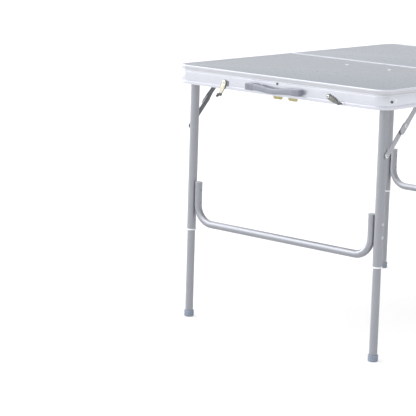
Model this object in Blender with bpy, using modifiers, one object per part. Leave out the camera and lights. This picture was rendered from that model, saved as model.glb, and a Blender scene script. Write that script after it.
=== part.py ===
"""Folding picnic table of the suitcase type: two framed half tops hinged in the middle,
four telescoping legs with crossbars and folding braces, a carrying handle and two latches.

Metres, +Z up, standing on its feet at z = 0. X runs along the table, the handle is at -X.
"""
import math

import bmesh
import bpy
from mathutils import Matrix

# ---- driving dimensions -------------------------------------------------------------
LENGTH = 1.000            # over the rims
WIDTH = 0.700
HEIGHT = 0.700
RIM_H = 0.050             # height of the rim extrusion
CORNER_R = 0.042
GAP = 0.0003              # running and resting gap between pieces

WALL = 0.0030             # rim web, outside of the lips to the inside of the web
LIP = 0.0080              # top lip of the rim over the board
LEDGE = 0.0120            # ledge under the board
SEAM_LIP = 0.0090
BOARD_EDGE = 0.0034       # inset of the board's edge inside the rim

LEG_X = 0.455             # leg axes
LEG_Y = 0.3153
PIVOT_Z = 0.674
LEG_R = 0.0120            # outer leg tube
LEG_BORE_R = 0.0109
SLIDE_R = 0.0106          # inner leg tube
SLIDE_WALL = 0.0012
LEG_END_Z = 0.2465        # lower end of the outer tube
SLIDE_TOP_Z = 0.347
FOOT_R = 0.0136
FOOT_H = 0.017

BAR_R = 0.0100            # crossbar tube
BAR_Y = LEG_Y - 0.0225
BAR_Z = 0.268
BAR_TOP_Z = 0.380
BAR_BEND_R = 0.050

PIN_R = 0.0030            # leg pivot pin
BRACE_LEG_Z = 0.531       # brace pivot on the leg
BRACE_RIM_X = 0.3133      # brace pivot on the rim
BRACE_RIM_Z = 0.674
LOWER_LINK = 0.100        # between the pivots of the lower link
LINK_W = 0.0160
LINK_T = 0.0020
LINK_TAIL = 0.0180        # upper link past the knee
RIVET_R = 0.0025

SEAM_Z = 0.6475           # axis of the seam hinges
HINGE_Y = 0.230
HINGE_LEN = 0.070

HANDLE_Y = 0.0645         # inner faces of the end mounts
HANDLE_MOUNT = 0.0270
HANDLE_X = -0.5115        # pivot axis of the grip
HANDLE_Z = 0.6680

LATCH_Y = 0.1735
LATCH_Z = 0.6685
LATCH_LEN = 0.0420        # pivot to keeper
LATCH_REST = {"left": 20.0, "right": 66.0}   # degrees from hanging straight down

TAU = math.tau


# ---- helpers ------------------------------------------------------------------------
for old in list(bpy.data.objects):
    bpy.data.objects.remove(old, do_unlink=True)

table = bpy.data.collections.new("picnic_table")
cutters = bpy.data.collections.new("cutters")
bpy.context.scene.collection.children.link(table)
bpy.context.scene.collection.children.link(cutters)


def material(name, colour, roughness, metallic):
    mat = bpy.data.materials.new(name)
    mat.use_nodes = True
    shader = mat.node_tree.nodes["Principled BSDF"]
    shader.inputs["Base Color"].default_value = (*colour, 1.0)
    shader.inputs["Roughness"].default_value = roughness
    shader.inputs["Metallic"].default_value = metallic
    mat.diffuse_color = (*colour, 1.0)
    return mat


LAMINATE = material("laminate_grey", (0.48, 0.50, 0.56), 0.38, 0.0)
RIM_ALU = material("rim_aluminium", (0.80, 0.81, 0.84), 0.34, 1.0)
TUBE_ALU = material("tube_aluminium", (0.74, 0.75, 0.78), 0.32, 1.0)
BRACE_ALU = material("brace_aluminium", (0.66, 0.68, 0.72), 0.38, 1.0)
STEEL = material("zinc_plated_steel", (0.58, 0.59, 0.60), 0.40, 1.0)
RIVET = material("rivet_aluminium", (0.62, 0.63, 0.66), 0.42, 1.0)
GREY_PLASTIC = material("handle_grey_plastic", (0.36, 0.38, 0.44), 0.50, 0.0)
FOOT_PLASTIC = material("foot_grey_plastic", (0.33, 0.38, 0.46), 0.55, 0.0)
WHITE_PLASTIC = material("collar_white_plastic", (0.80, 0.81, 0.82), 0.45, 0.0)
LATCH_METAL = material("latch_zinc", (0.30, 0.28, 0.23), 0.42, 0.8)
TAB_BRASS = material("tab_brass", (0.42, 0.36, 0.17), 0.40, 0.8)


def empty(name, location):
    axis = bpy.data.objects.new(name, None)
    axis.empty_display_size = 0.02
    axis.location = location
    table.objects.link(axis)
    return axis


SEAM = empty("seam_axis", (0.0, 0.0, SEAM_Z))
LEGS = {
    "near": empty("near_leg_axis", (-LEG_X, 0.0, PIVOT_Z)),
    "far": empty("far_leg_axis", (LEG_X, 0.0, PIVOT_Z - SEAM_Z)),
}
LEGS["far"].parent = SEAM


def place(obj, mat, location, parent=None, rotation=(0.0, 0.0, 0.0), coll=None):
    """Put the object at a world location, hung on its joint's empty."""
    base = (0.0, 0.0, 0.0)
    if parent is not None:
        obj.parent = parent
        base = parent.location
        if parent.parent is not None:
            base = base + parent.parent.location
    obj.location = [w - b for w, b in zip(location, base)]
    obj.rotation_euler = rotation
    if mat is not None:
        obj.data.materials.clear()
        obj.data.materials.append(mat)
    (coll or table).objects.link(obj)
    return obj


def as_cutter(obj, location=(0.0, 0.0, 0.0), rotation=(0.0, 0.0, 0.0)):
    place(obj, None, location, rotation=rotation, coll=cutters)
    obj.display_type = 'WIRE'
    obj.hide_render = True
    return obj


def mesh_object(name, bm):
    bmesh.ops.recalc_face_normals(bm, faces=bm.faces)
    mesh = bpy.data.meshes.new(name)
    bm.to_mesh(mesh)
    bm.free()
    return bpy.data.objects.new(name, mesh)


def box(name, lo, hi):
    bm = bmesh.new()
    bmesh.ops.create_cube(bm, size=1.0)
    size = [h - l for l, h in zip(lo, hi)]
    mid = [(h + l) / 2 for l, h in zip(lo, hi)]
    bmesh.ops.transform(bm, matrix=Matrix.Translation(mid) @ Matrix.Diagonal((*size, 1.0)),
                        verts=bm.verts)
    return mesh_object(name, bm)


def turned(name, profile, closed=False, steps=16):
    """A profile of (radius, height) turned about the local Z axis."""
    bm = bmesh.new()
    verts = [bm.verts.new((r, 0.0, z)) for r, z in profile]
    for a, b in zip(verts, verts[1:]):
        bm.edges.new((a, b))
    if closed:
        bm.edges.new((verts[-1], verts[0]))
    mesh = bpy.data.meshes.new(name)
    bm.to_mesh(mesh)
    bm.free()
    obj = bpy.data.objects.new(name, mesh)
    screw = obj.modifiers.new("Turn", 'SCREW')
    screw.axis = 'Z'
    screw.angle = TAU
    screw.steps = steps
    screw.render_steps = steps
    screw.use_merge_vertices = True
    screw.merge_threshold = 0.00001
    screw.use_smooth_shade = True
    return obj


def boolean(obj, operand, operation='DIFFERENCE'):
    mod = obj.modifiers.new(operation.title(), 'BOOLEAN')
    mod.operation = operation
    mod.solver = 'EXACT'
    mod.object = operand
    return mod


def bevel(obj, width, segments=2, angle=35.0):
    mod = obj.modifiers.new("Bevel", 'BEVEL')
    mod.width = width
    mod.segments = segments
    mod.limit_method = 'ANGLE'
    mod.angle_limit = math.radians(angle)
    return mod


def curve_to_mesh(curve_obj):
    """A mesh object with the curve's evaluated surface, its loose caps welded on."""
    bpy.context.view_layer.update()
    graph = bpy.context.evaluated_depsgraph_get()
    mesh = bpy.data.meshes.new_from_object(curve_obj.evaluated_get(graph))
    mesh.transform(curve_obj.matrix_world)
    name = curve_obj.name
    curve_data = curve_obj.data
    bpy.data.objects.remove(curve_obj, do_unlink=True)
    bpy.data.curves.remove(curve_data)
    bm = bmesh.new()
    bm.from_mesh(mesh)
    bmesh.ops.remove_doubles(bm, verts=bm.verts, dist=0.00001)
    bmesh.ops.recalc_face_normals(bm, faces=bm.faces)
    bm.to_mesh(mesh)
    bm.free()
    mesh.name = name
    return bpy.data.objects.new(name, mesh)


def curve(name, points, cyclic=False, flat=False):
    data = bpy.data.curves.new(name, 'CURVE')
    data.dimensions = '2D' if flat else '3D'
    spline = data.splines.new('POLY')
    spline.points.add(len(points) - 1)
    for slot, co in zip(spline.points, points):
        slot.co = (*co, *([0.0] * (3 - len(co))), 1.0)
    spline.use_cyclic_u = cyclic
    return bpy.data.objects.new(name, data)


PLANES = {
    "XY": Matrix.Identity(4),
    "XZ": Matrix.Rotation(math.pi / 2, 4, 'X'),
    "YZ": Matrix.Rotation(math.pi / 2, 4, 'Z') @ Matrix.Rotation(math.pi / 2, 4, 'X'),
}


def plate(name, outline, lo, hi, plane, holes=()):
    """A flat outline in one plane, extruded along the plane's normal from lo to hi."""
    obj = curve(name, outline, cyclic=True, flat=True)
    for hole in holes:
        spline = obj.data.splines.new('POLY')
        spline.points.add(len(hole) - 1)
        for slot, co in zip(spline.points, hole):
            slot.co = (*co, 0.0, 1.0)
        spline.use_cyclic_u = True
    obj.data.fill_mode = 'BOTH'
    obj.data.extrude = (hi - lo) / 2
    cutters.objects.link(obj)
    solid = curve_to_mesh(obj)
    middle = (lo + hi) / 2
    if plane == "XZ":
        middle = -middle
    turn = PLANES[plane] @ Matrix.Translation((0.0, 0.0, middle))
    solid.data.transform(turn)
    return solid


def arc(cx, cy, radius, start, end, steps):
    """Points on an arc, angles in degrees."""
    out = []
    for i in range(steps + 1):
        a = math.radians(start + (end - start) * i / steps)
        out.append((cx + radius * math.cos(a), cy + radius * math.sin(a)))
    return out


def circle(cx, cy, radius, steps=16):
    return arc(cx, cy, radius, 0.0, 360.0, steps)[:-1]


def rounded_rect(u0, u1, v0, v1, radius, steps=3):
    return (arc(u1 - radius, v1 - radius, radius, 0, 90, steps)
            + arc(u0 + radius, v1 - radius, radius, 90, 180, steps)
            + arc(u0 + radius, v0 + radius, radius, 180, 270, steps)
            + arc(u1 - radius, v0 + radius, radius, 270, 360, steps))


def bar_outline(a, b, radius, tail=0.0, steps=6):
    """A flat bar with round ends, from pivot a to pivot b and on by the tail."""
    angle = math.degrees(math.atan2(b[1] - a[1], b[0] - a[0]))
    c = math.cos(math.radians(angle))
    s = math.sin(math.radians(angle))
    end = (b[0] + tail * c, b[1] + tail * s)
    return (arc(*a, radius, angle + 90, angle + 270, steps)
            + arc(*end, radius, angle - 90, angle + 90, steps))


def rod_profile(*stations):
    """Closed-on-axis profile from (radius, z) stations, listed from the top down."""
    return [(0.0, stations[0][1]), *stations, (0.0, stations[-1][1])]


def along_y(sy):
    """Turns local +Z to point to the outside of the table's side sy."""
    return (-sy * math.pi / 2, 0.0, 0.0)


# ---- half tops ------------------------------------------------------------------------
TOP = HEIGHT
LOW = HEIGHT - RIM_H
LIP_T = 0.0015
SHELF_TOP = TOP - 0.0058
RIM_PROFILE = [           # (inset from the outside of the lips, z), clockwise from the top
    (LIP, TOP), (0.0008, TOP), (0.0, TOP - 0.0008), (0.0, TOP - 0.0040),
    (0.0014, TOP - 0.0048), (0.0002, TOP - 0.0062), (0.0002, TOP - 0.0088),
    (0.0018, TOP - 0.0104), (0.0008, TOP - 0.0122), (0.0008, LOW + 0.0112),
    (0.0020, LOW + 0.0092), (0.0, LOW + 0.0070), (0.0, LOW + 0.0008),
    (0.0008, LOW), (LIP, LOW), (LIP, LOW + 0.0016), (WALL, LOW + 0.0016),
    (WALL, SHELF_TOP - 0.0014), (LEDGE, SHELF_TOP - 0.0014), (LEDGE, SHELF_TOP),
    (WALL, SHELF_TOP), (WALL, TOP - LIP_T), (LIP, TOP - LIP_T),
]


def rim(name, sx):
    """The extrusion bent round three sides of a half: a swept profile."""
    section = curve(name + "_section", [(-u, z) for u, z in RIM_PROFILE], cyclic=True, flat=True)
    section.data.fill_mode = 'NONE'
    cutters.objects.link(section)
    section.display_type = 'WIRE'
    section.hide_render = True
    hx, hy, r = LENGTH / 2, WIDTH / 2, CORNER_R
    route = ([(-GAP, hy)]
             + arc(-(hx - r), hy - r, r, 90, 180, 5)
             + arc(-(hx - r), -(hy - r), r, 180, 270, 5)
             + [(-GAP, -hy)])
    path = curve(name, [(x, y, 0.0) for x, y in route])
    path.data.twist_mode = 'Z_UP'
    path.data.bevel_mode = 'OBJECT'
    path.data.bevel_object = section
    path.data.use_fill_caps = True
    cutters.objects.link(path)
    solid = curve_to_mesh(path)
    section_data = section.data
    bpy.data.objects.remove(section, do_unlink=True)
    bpy.data.curves.remove(section_data)
    if sx > 0:
        solid.data.transform(Matrix.Rotation(math.pi, 4, 'Z'))
    return solid


def half_board(name, sx):
    """The laminate board: its edge is stepped down to lie in the rim's slot."""
    hx, hy = LENGTH / 2, WIDTH / 2

    def outline(inset, seam, radius):
        pts = ([(-seam, hy - inset)]
               + arc(-(hx - inset - radius), hy - inset - radius, radius, 90, 180, 5)
               + arc(-(hx - inset - radius), -(hy - inset - radius), radius, 180, 270, 5)
               + [(-seam, -(hy - inset))])
        return [(-sx * x, y) for x, y in pts]

    base = plate(name, outline(BOARD_EDGE, 0.0026, CORNER_R - BOARD_EDGE),
                 SHELF_TOP + GAP, TOP - LIP_T - GAP, "XY")
    raised = plate(name + "_field", outline(LIP + GAP, SEAM_LIP + 2 * GAP, CORNER_R - LIP - GAP),
                   SHELF_TOP + 0.0010, TOP - 0.0005, "XY")
    boolean(base, as_cutter(raised), 'UNION')
    return base


def seam_rail(name, sx):
    """Straight extrusion along the seam, between the ends of the bent rim."""
    section = [
        (SEAM_LIP, TOP), (0.0012, TOP), (GAP, TOP - 0.0009), (GAP, LOW + 0.0008),
        (0.0011, LOW), (0.0100, LOW), (0.0100, LOW + 0.0016), (0.0020, LOW + 0.0016),
        (0.0020, SHELF_TOP - 0.0014), (LEDGE, SHELF_TOP - 0.0014), (LEDGE, SHELF_TOP),
        (0.0020, SHELF_TOP), (0.0020, TOP - LIP_T), (SEAM_LIP, TOP - LIP_T),
    ]
    half = WIDTH / 2 - WALL - 2 * GAP
    return plate(name, [(sx * u, z) for u, z in section], -half, half, "XZ")


for end, sx in (("near", -1), ("far", 1)):
    body = None if end == "near" else SEAM
    pins = []
    for side, sy in (("left", 1), ("right", -1)):
        pins.append(as_cutter(
            turned(f"pin_hole_{end}_{side}", rod_profile((PIN_R + GAP, 0.060),
                                                         (PIN_R + GAP, -0.030))),
            (sx * LEG_X, sy * LEG_Y, PIVOT_Z), along_y(sy)))
    studs = [as_cutter(turned(f"stud_hole_{end}_{side}", rod_profile((0.0026, 0.02),
                                                                     (0.0026, -0.02)), steps=12),
                       (sx * LENGTH / 2, sy * LATCH_Y, LATCH_Z), (0.0, math.pi / 2, 0.0))
             for side, sy in (("left", 1), ("right", -1))]
    notch = as_cutter(box(f"seam_notch_{end}",
                          (min(0.0, sx * 0.0129), -(WIDTH / 2 - WALL - GAP), LOW - 0.01),
                          (max(0.0, sx * 0.0129), WIDTH / 2 - WALL - GAP, TOP + 0.01)))

    frame = rim(f"rim_{end}", sx)
    for cutter in [*pins, *studs, notch]:
        boolean(frame, cutter)
    # The far half's pieces keep their world shape: their origin is moved to the seam axis.
    board = half_board(f"top_panel_{end}", sx)
    rail = seam_rail(f"seam_rail_{end}", sx)
    for obj, mat in ((frame, RIM_ALU), (board, LAMINATE), (rail, RIM_ALU)):
        if body is not None:
            obj.data.transform(Matrix.Translation((0.0, 0.0, -SEAM_Z)))
        place(obj, mat, (0.0, 0.0, 0.0 if body is None else SEAM_Z), body)

    # ---- legs, saddles, crossbar, braces ----------------------------------------------
    swing = LEGS[end]
    for side, sy in (("left", 1), ("right", -1)):
        tag = f"{end}_{side}"
        pivot = (sx * LEG_X, sy * LEG_Y, PIVOT_Z)
        pin_hole = pins[0] if sy > 0 else pins[1]

        # Saddle: a channel over the leg's top, with a cheek on each side.
        saddle_out = [
            (-0.0152, -0.010), (-0.0132, -0.010), (-0.0132, 0.0182), (0.0132, 0.0182),
            (0.0132, -0.010), (0.0152, -0.010), (0.0152, 0.0199), (-0.0152, 0.0199),
        ]
        saddle = plate(f"leg_mount_{tag}", saddle_out, -0.016, 0.016, "YZ")
        boolean(saddle, pin_hole)
        place(saddle, STEEL, pivot, body)

        pin = turned(f"leg_pin_{tag}", rod_profile(
            (0.0034, 0.0361), (0.0058, 0.0345), (PIN_R, 0.0345),
            (PIN_R, -0.0155), (0.0055, -0.0155), (0.0055, -0.0172)), steps=14)
        place(pin, RIVET, pivot, body, along_y(sy))

        # Outer tube, its origin on the leg's pivot axis.
        low = LEG_END_Z - PIVOT_Z
        tube = turned(f"leg_tube_{tag}", [
            (LEG_R, 0.0095), (LEG_R, low), (LEG_BORE_R, low), (LEG_BORE_R, 0.0095)],
            closed=True)
        link_hole = as_cutter(turned(f"link_hole_{tag}", rod_profile(
            (RIVET_R + GAP, 0.020), (RIVET_R + GAP, 0.004)), steps=12),
            (sx * LEG_X, sy * LEG_Y, BRACE_LEG_Z), along_y(sy))
        boolean(tube, pin_hole)
        boolean(tube, link_hole)
        place(tube, TUBE_ALU, pivot, swing)

        slide = turned(f"leg_slide_{tag}", [
            (SLIDE_R, SLIDE_TOP_Z), (SLIDE_R, 0.0040), (SLIDE_R - SLIDE_WALL, 0.0040),
            (SLIDE_R - SLIDE_WALL, SLIDE_TOP_Z)], closed=True)
        place(slide, TUBE_ALU, (sx * LEG_X, sy * LEG_Y, 0.0), swing)

        z = LEG_END_Z
        collar = turned(f"leg_collar_{tag}", [
            (0.0133, z + 0.0012), (0.0133, z - 0.0036), (0.0109, z - 0.0040),
            (0.0109, z - GAP), (LEG_R + GAP, z - GAP), (LEG_R + GAP, z + 0.0012)], closed=True)
        place(collar, WHITE_PLASTIC, (sx * LEG_X, sy * LEG_Y, 0.0), swing)

        foot = turned(f"foot_cap_{tag}", [
            (0.0, 0.0040 - GAP), (SLIDE_R + GAP, 0.0040 - GAP), (SLIDE_R + GAP, FOOT_H),
            (0.0126, FOOT_H), (FOOT_R, FOOT_H - 0.0012), (FOOT_R, 0.0020),
            (FOOT_R - 0.0020, 0.0), (0.0, 0.0)])
        place(foot, FOOT_PLASTIC, (sx * LEG_X, sy * LEG_Y, 0.0), swing)

        # Brace: world points of its three pivots in the plane of the links.
        leg_pt = (sx * LEG_X, BRACE_LEG_Z)
        rim_pt = (sx * BRACE_RIM_X, BRACE_RIM_Z)
        span = math.dist(leg_pt, rim_pt)
        knee = tuple(a + (b - a) * LOWER_LINK / span for a, b in zip(leg_pt, rim_pt))
        inner = LEG_R + 0.0007                     # from the leg's axis to the lower link
        outer = inner + LINK_T + 0.0016            # and to the upper link

        def local(point, base):
            return (point[0] - base[0], point[1] - base[1])

        lower = plate(f"brace_lower_{tag}",
                      bar_outline((0.0, 0.0), local(knee, leg_pt), LINK_W / 2),
                      sy * inner if sy > 0 else -inner - LINK_T,
                      inner + LINK_T if sy > 0 else -inner, "XZ")
        leg_rivet = turned(f"leg_rivet_{tag}", rod_profile(
            (0.0034, inner + LINK_T + 0.0012), (0.0048, inner + LINK_T + 0.0006),
            (0.0048, inner + 0.0010), (RIVET_R, inner + 0.0010), (RIVET_R, LEG_BORE_R + GAP)),
            steps=12)
        knee_washer = turned(f"knee_washer_{tag}", rod_profile(
            (0.0056, outer - GAP), (0.0056, inner + 0.0010)), steps=12)
        as_cutter(leg_rivet, (leg_pt[0], sy * LEG_Y, leg_pt[1]), along_y(sy))
        as_cutter(knee_washer, (knee[0], sy * LEG_Y, knee[1]), along_y(sy))
        boolean(lower, leg_rivet, 'UNION')
        boolean(lower, knee_washer, 'UNION')
        place(lower, BRACE_ALU, (leg_pt[0], sy * LEG_Y, leg_pt[1]), swing)

        upper = plate(f"brace_upper_{tag}",
                      bar_outline((0.0, 0.0), local(knee, rim_pt), LINK_W / 2, LINK_TAIL),
                      outer if sy > 0 else -outer - LINK_T,
                      outer + LINK_T if sy > 0 else -outer, "XZ",
                      holes=[circle(0.0, 0.0, RIVET_R + GAP, 12)])
        # The knee's rivet head stays on the upper link, clear of the lower one.
        knee_head = turned(f"knee_head_{tag}", rod_profile(
            (0.0030, outer + LINK_T + 0.0016), (0.0048, outer + LINK_T + 0.0008),
            (0.0048, outer + 0.0010)), steps=12)
        as_cutter(knee_head, (knee[0], sy * LEG_Y, knee[1]), along_y(sy))
        boolean(upper, knee_head, 'UNION')
        place(upper, BRACE_ALU, (rim_pt[0], sy * LEG_Y, rim_pt[1]), body)

        back = WIDTH / 2 - WALL - GAP - LEG_Y      # bracket's back, from the leg's axis
        bracket = plate(f"brace_bracket_{tag}",
                        rounded_rect(-0.018, 0.018, -0.0185, 0.0160, 0.004),
                        back - 0.0020 if sy > 0 else -back,
                        back if sy > 0 else -back + 0.0020, "XZ")
        stub = turned(f"bracket_stub_{tag}", rod_profile(
            (0.0060, back - 0.0010), (0.0060, outer + LINK_T + GAP),
            (RIVET_R, outer + LINK_T + GAP), (RIVET_R, outer + 0.0001)), steps=12)
        as_cutter(stub, (rim_pt[0], sy * LEG_Y, rim_pt[1]), along_y(sy))
        boolean(bracket, stub, 'UNION')
        place(bracket, STEEL, (rim_pt[0], sy * LEG_Y, rim_pt[1]), body)

    # Crossbar: an open tube bent up at both ends, lying inside the legs.
    r = BAR_BEND_R
    route = ([(-BAR_Y, BAR_TOP_Z)]
             + arc(-BAR_Y + r, BAR_Z + r, r, 180, 270, 5)
             + arc(BAR_Y - r, BAR_Z + r, r, 270, 360, 5)
             + [(BAR_Y, BAR_TOP_Z)])
    bar = curve(f"crossbar_{end}", [(0.0, y, z - PIVOT_Z) for y, z in route])
    bar.data.bevel_depth = BAR_R
    bar.data.bevel_resolution = 2
    shell = bar.modifiers.new("Wall", 'SOLIDIFY')
    shell.thickness = 0.0012
    shell.offset = -1.0
    place(bar, TUBE_ALU, (sx * LEG_X, 0.0, PIVOT_Z), swing)


# ---- seam hinges ------------------------------------------------------------------------
LEAF_W = 0.0100
BARREL_R = 0.0026
for side, sy in (("left", 1), ("right", -1)):
    at = (0.0, sy * HINGE_Y, SEAM_Z)
    third = HINGE_LEN / 3
    plate_lo, plate_hi = 0.0010, LOW - SEAM_Z - GAP
    for end, sx in (("near", -1), ("far", 1)):
        leaf = box(f"hinge_leaf_{end}_{side}",
                   (min(sx * 0.0006, sx * LEAF_W), -HINGE_LEN / 2, plate_lo),
                   (max(sx * 0.0006, sx * LEAF_W), HINGE_LEN / 2, plate_hi))
        lane = (BARREL_R + GAP) * 2
        if end == "near":
            spans = [(-HINGE_LEN / 2, -third / 2 - GAP), (third / 2 + GAP, HINGE_LEN / 2)]
            clear = [(-third / 2 - GAP, third / 2 + GAP)]
        else:
            spans = [(-third / 2 + GAP, third / 2 - GAP)]
            clear = [(-HINGE_LEN, -third / 2 + GAP), (third / 2 - GAP, HINGE_LEN)]
        for n, (lo, hi) in enumerate(clear):
            boolean(leaf, as_cutter(box(f"leaf_gap_{end}_{side}_{n}",
                                        (-lane / 2, lo, -0.01), (lane / 2, hi, 0.01)), at))
        for n, (lo, hi) in enumerate(spans):
            barrel = turned(f"barrel_{end}_{side}_{n}", rod_profile((BARREL_R, hi), (BARREL_R, lo)),
                            steps=14)
            boolean(leaf, as_cutter(barrel, at, (-math.pi / 2, 0.0, 0.0)), 'UNION')
        if end == "near":
            rod = turned(f"hinge_rod_{side}", rod_profile((0.0011, HINGE_LEN / 2 - 0.002),
                                                          (0.0011, -HINGE_LEN / 2 + 0.002)),
                         steps=12)
            boolean(leaf, as_cutter(rod, at, (-math.pi / 2, 0.0, 0.0)), 'UNION')
            place(leaf, STEEL, at)
        else:
            bore = turned(f"hinge_bore_{side}", rod_profile((0.0014, third), (0.0014, -third)),
                          steps=12)
            boolean(leaf, as_cutter(bore, at, (-math.pi / 2, 0.0, 0.0)))
            place(leaf, STEEL, at, SEAM)


# ---- carrying handle --------------------------------------------------------------------
FACE = -LENGTH / 2 + 0.0008 - GAP       # just outside the rim's main face
for side, sy in (("left", 1), ("right", -1)):
    y0, y1 = HANDLE_Y, HANDLE_Y + HANDLE_MOUNT
    block = plate(f"handle_mount_{side}",
                  rounded_rect(min(sy * y0, sy * y1), max(sy * y0, sy * y1),
                               LOW + 0.0088, LOW + 0.0270, 0.0045, 4),
                  HANDLE_X - 0.0070, FACE, "YZ")
    bevel(block, 0.0016)
    socket = turned(f"grip_socket_{side}", rod_profile((0.0028, 0.009), (0.0028, -0.004)),
                    steps=14)
    as_cutter(socket, (HANDLE_X, sy * HANDLE_Y, HANDLE_Z), along_y(sy))
    boolean(block, socket)
    place(block, GREY_PLASTIC, (0.0, 0.0, 0.0))

END = HANDLE_Y - GAP
TOP_EDGE = [(-END, 0.0052), (-END * 0.80, 0.0046), (-END * 0.5, 0.0022), (0.0, 0.0010),
            (END * 0.5, 0.0022), (END * 0.80, 0.0046), (END, 0.0052)]
LOW_EDGE = [(END, -0.0080), (END * 0.80, -0.0092), (END * 0.5, -0.0116), (0.0, -0.0126),
            (-END * 0.5, -0.0116), (-END * 0.80, -0.0092), (-END, -0.0080)]
grip = plate("handle_grip", TOP_EDGE + LOW_EDGE, -0.0050, 0.0050, "YZ")
bevel(grip, 0.0028)
for side, sy in (("left", 1), ("right", -1)):
    trunnion = turned(f"grip_pin_{side}", rod_profile((0.0024, 0.0075), (0.0024, -0.006)),
                      steps=14)
    as_cutter(trunnion, (HANDLE_X, sy * HANDLE_Y, HANDLE_Z), along_y(sy))
    boolean(grip, trunnion, 'UNION')
place(grip, GREY_PLASTIC, (HANDLE_X, 0.0, HANDLE_Z))


# ---- latches, their rivets, the keepers and the guide tabs --------------------------------
for side, sy in (("left", 1), ("right", -1)):
    out = (0.0, -math.pi / 2, 0.0)       # local +Z points away from the handle end
    face = LENGTH / 2
    # Hook seen from the handle end, hanging straight down from its eye.
    hook = (arc(0.0, 0.0, 0.0066, -20, 200, 8)
            + [(-0.0042, -0.0110), (-0.0060, -0.0180), (-0.0060, -0.0290), (-0.0034, -0.0350)]
            + [(-0.0052, -0.0395), (-0.0050, -0.0450), (0.0, -0.0478), (0.0050, -0.0450)]
            + [(0.0056, -0.0400), (0.0056, -0.0360), (0.0030, -0.0360), (0.0030, -0.0400)]
            + arc(0.0, -LATCH_LEN + 0.0012, 0.0030, -30, -150, 3)
            + [(-0.0016, -0.0375), (0.0036, -0.0320), (0.0060, -0.0290), (0.0060, -0.0180)]
            + [(0.0042, -0.0110)])
    latch = plate(f"latch_{side}", [(sy * u, v) for u, v in hook], -0.0013, 0.0013, "YZ",
                  holes=[circle(0.0, 0.0, 0.0026, 12)])
    latch.data.transform(Matrix.Rotation(math.radians(sy * LATCH_REST[side]), 4, 'X'))
    place(latch, LATCH_METAL, (-face - 0.0019, sy * LATCH_Y, LATCH_Z))

    rivet = turned(f"latch_rivet_{side}", rod_profile(
        (0.0030, 0.0054), (0.0048, 0.0046), (0.0050, 0.0035), (0.0022, 0.0035),
        (0.0022, -0.0033), (0.0040, -0.0033), (0.0040, -0.0046)), steps=12)
    place(rivet, RIVET, (-face, sy * LATCH_Y, LATCH_Z), None, out)

    stud = turned(f"keeper_{side}", rod_profile(
        (0.0032, 0.0072), (0.0042, 0.0062), (0.0042, 0.0050), (0.0023, 0.0044),
        (0.0023, -0.0033), (0.0040, -0.0033), (0.0040, -0.0046)), steps=12)
    place(stud, STEEL, (face, sy * LATCH_Y, LATCH_Z), SEAM, (0.0, math.pi / 2, 0.0))

TAB_HALF_W = 0.0150
for side, mid in (("left", -0.0020), ("right", -0.0520)):
    tab = plate(f"guide_tab_{side}",
                rounded_rect(mid - TAB_HALF_W, mid + TAB_HALF_W, LOW - 0.0085, LOW + 0.0034,
                             0.0050), -0.4917, -0.4899, "YZ")
    hook = box(f"tab_hook_{side}", (-0.4967, mid - TAB_HALF_W * 0.6, LOW + 0.0019),
               (-0.4905, mid + TAB_HALF_W * 0.6, LOW + 0.0033))
    boolean(tab, as_cutter(hook), 'UNION')
    place(tab, TAB_BRASS, (0.0, 0.0, 0.0))
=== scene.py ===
"""The look of a folding aluminium picnic table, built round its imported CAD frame.

Metres, +Z up. The handle end is at -X ("near"), left is +Y. Every piece that isn't a CAD
node rides on a CAD body, and those that refine a CAD node's shape replace that node.
"""
import math

import bmesh
import bpy
from mathutils import Matrix, Vector

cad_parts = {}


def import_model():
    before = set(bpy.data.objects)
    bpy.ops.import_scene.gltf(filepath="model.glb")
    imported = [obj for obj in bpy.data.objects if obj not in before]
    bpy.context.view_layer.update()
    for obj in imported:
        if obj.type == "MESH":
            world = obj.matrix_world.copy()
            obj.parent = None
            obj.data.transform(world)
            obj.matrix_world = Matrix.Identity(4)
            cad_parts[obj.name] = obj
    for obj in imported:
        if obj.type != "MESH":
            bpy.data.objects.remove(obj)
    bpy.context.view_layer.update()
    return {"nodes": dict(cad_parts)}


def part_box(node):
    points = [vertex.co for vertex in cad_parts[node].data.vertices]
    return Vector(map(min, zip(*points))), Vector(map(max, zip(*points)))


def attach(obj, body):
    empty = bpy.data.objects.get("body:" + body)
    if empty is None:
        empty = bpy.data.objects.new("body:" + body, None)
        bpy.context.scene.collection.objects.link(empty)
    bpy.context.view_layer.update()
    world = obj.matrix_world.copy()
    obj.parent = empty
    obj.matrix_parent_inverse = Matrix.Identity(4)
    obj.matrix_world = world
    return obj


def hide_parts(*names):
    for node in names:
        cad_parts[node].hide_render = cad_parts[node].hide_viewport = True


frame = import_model()

# ---- dimensions shared with the CAD, in metres ----------------------------------------
MM = 0.001
HALF_L = -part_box("rim_near")[0].x
HALF_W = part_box("rim_near")[1].y
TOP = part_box("rim_near")[1].z
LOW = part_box("rim_near")[0].z
CORNER_R = 0.042
GAP = 0.0003
WALL = 0.0030
LIP = 0.0080
SHELF = TOP - 0.0058          # top of the ledge that the boards lie on
BOARD_TOP = TOP - 0.5 * MM
LIP_T = 0.0015
FACE_INSET = 0.0008           # the rim's main face, behind its lips

LEG_X, LEG_Y, PIVOT_Z = 0.455, 0.3153, 0.674
LEG_R, LEG_BORE_R = 0.0120, 0.0109
SLIDE_R, SLIDE_BORE_R = 0.0106, 0.0094
LEG_TOP_Z, LEG_END_Z = PIVOT_Z + 0.0095, 0.2465
SLIDE_TOP_Z, SLIDE_END_Z = 0.347, 0.0042
FOOT_R, FOOT_H = 0.0136, 0.017
BAR_R = 0.0100
BAR_Y = LEG_Y - 0.0225
BAR_Z, BAR_TOP_Z, BAR_BEND_R = 0.268, 0.380, 0.050
BAR_RIVET_Z = (0.357, 0.323)
CASE_RIVET = (0.4697, 0.6705)

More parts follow.
